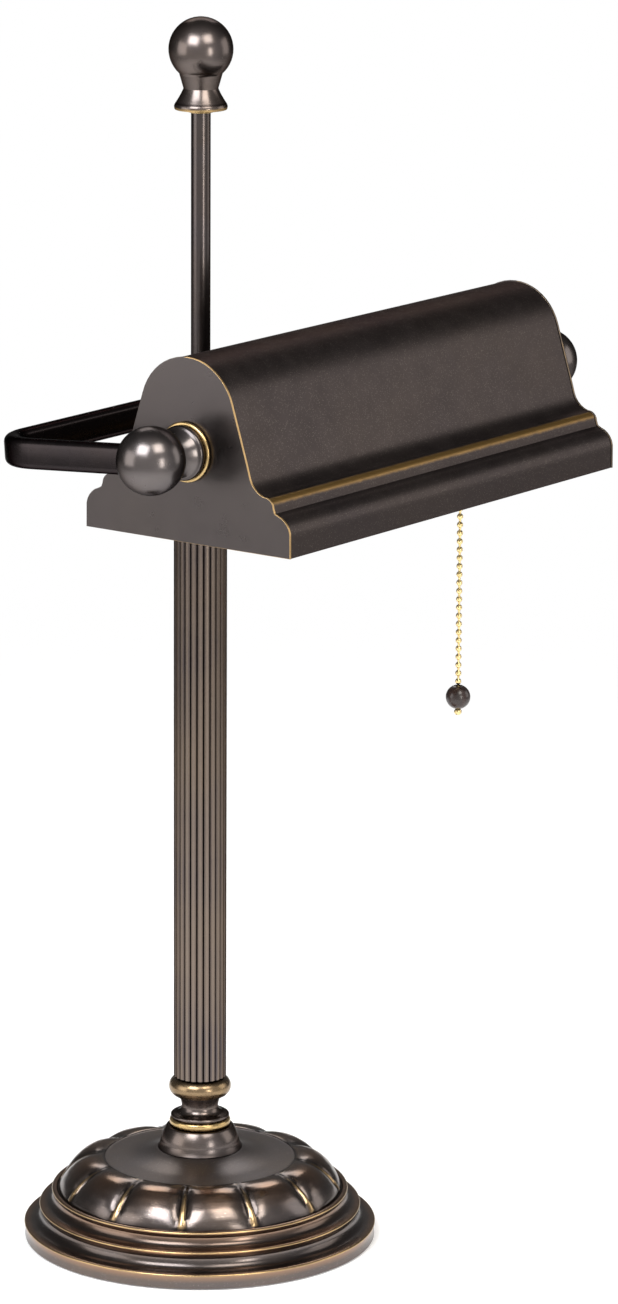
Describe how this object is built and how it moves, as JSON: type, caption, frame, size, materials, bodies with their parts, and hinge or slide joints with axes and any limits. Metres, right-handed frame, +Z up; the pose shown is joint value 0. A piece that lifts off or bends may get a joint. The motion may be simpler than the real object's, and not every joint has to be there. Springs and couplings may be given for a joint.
{
  "type": "banker desk lamp",
  "caption": "Desk lamp with a round lobed base, reeded column, long tilting metal shade hung in a swivelling yoke that slides on the upper rod, ball finial and bead pull chain.",
  "frame": {"origin": "centre of the felt pad's underside, on the post's axis", "axes": "+Z up the post, X along the shade with the pull chain at +X, shade in front at -Y"},
  "size_m": [0.3542, 0.2431, 0.6174],
  "materials": {
    "dark_bronze": "glossy dark bronze lacquer over plating, rubbed to copper brown on high places",
    "satin_bronze": "satin dark bronze with a fine bright speckle",
    "rubbed_brass": "antique brass, rubbed bright",
    "bright_brass": "polished brass",
    "plated_steel": "zinc plated steel",
    "iron": "rough black cast iron",
    "felt": "dark green felt",
    "phenolic": "black moulded phenolic",
    "fibre": "vulcanised fibre sleeve",
    "black_plastic": "matt black plastic",
    "dark_wood": "dark stained and polished wood",
    "bulb_glass": "frosted glass"
  },
  "bodies": {
    "stand": {"felt_pad": "felt", "base_shell": "dark_bronze", "base_weight": "iron", "base_nut": "plated_steel", "base_washer": "plated_steel", "cord_bushing": "black_plastic", "bell_cup": "dark_bronze", "check_ring": "rubbed_brass", "neck_spool": "dark_bronze", "collar_bead": "rubbed_brass", "column": "dark_bronze", "column_cap": "dark_bronze", "stem_pipe": "plated_steel", "upper_rod": "dark_bronze", "finial_ring": "rubbed_brass", "finial": "dark_bronze", "lead_stand": "black_plastic"},
    "height_slider": {"height_collar": "dark_bronze"},
    "lock_screw": {"thumbscrew": "rubbed_brass"},
    "yoke": {"yoke_hub": "dark_bronze", "yoke_arm_left": "dark_bronze", "arm_screw_left": "plated_steel", "pivot_knob_left": "dark_bronze", "knob_screw_left": "plated_steel", "pivot_ring_left": "rubbed_brass", "pivot_stud_left": "plated_steel", "pivot_washer_left": "plated_steel", "pivot_nut_left": "plated_steel", "yoke_arm_right": "dark_bronze", "arm_screw_right": "plated_steel", "pivot_knob_right": "dark_bronze", "knob_screw_right": "plated_steel", "pivot_ring_right": "rubbed_brass", "pivot_stud_right": "plated_steel", "pivot_washer_right": "plated_steel", "pivot_nut_right": "plated_steel", "lead_yoke": "black_plastic"},
    "shade": {"shade_skin": "satin_bronze", "end_plate_left": "satin_bronze", "end_plate_right": "satin_bronze", "socket_bracket": "plated_steel", "socket_nipple": "plated_steel", "socket_locknut": "plated_steel", "socket_cap": "bright_brass", "socket_shell": "bright_brass", "socket_liner": "fibre", "switch_body": "phenolic", "screw_shell": "bright_brass", "centre_contact": "bright_brass", "chain_bell": "bright_brass", "lead_shade": "black_plastic", "bulb_base": "plated_steel", "bulb_glass": "bulb_glass", "bulb_stem": "bulb_glass"},
    "switch_pull": {"chain_hook": "bright_brass"},
    "chain_link": {"chain_coupler": "bright_brass"},
    "chain": {"pull_chain": "bright_brass", "pull_ball": "dark_wood", "pull_tip": "bright_brass"}
  },
  "joints": [
    {"name": "height_slide", "type": "slide", "parent": "stand", "child": "height_slider", "axis": [0, 0, 1], "range_m": [0, 0.125]},
    {"name": "lock_turn", "type": "hinge", "parent": "height_slider", "child": "lock_screw", "pos_m": [0, 0, 0.4118], "axis": [0, 1, 0], "range_deg": [-360, 0]},
    {"name": "yoke_swivel", "type": "hinge", "parent": "height_slider", "child": "yoke", "pos_m": [0, 0, 0.4289], "axis": [0, 0, 1], "range_deg": [-120, 120]},
    {"name": "shade_tilt", "type": "hinge", "parent": "yoke", "child": "shade", "pos_m": [0, -0.09457, 0.43611], "axis": [1, 0, 0], "range_deg": [-60, 60]},
    {"name": "switch_pull_slide", "type": "slide", "parent": "shade", "child": "switch_pull", "axis": [0, 0, -1], "range_m": [0, 0.007], "stiffness_N_per_m": 400},
    {"name": "chain_sway", "type": "hinge", "parent": "switch_pull", "child": "chain_link", "pos_m": [0.0879, -0.09457, 0.41151], "axis": [0, 1, 0], "range_deg": [-25, 25]},
    {"name": "chain_swing", "type": "hinge", "parent": "chain_link", "child": "chain", "pos_m": [0.0879, -0.09457, 0.40401], "axis": [1, 0, 0], "range_deg": [-60, 60]}
  ]
}
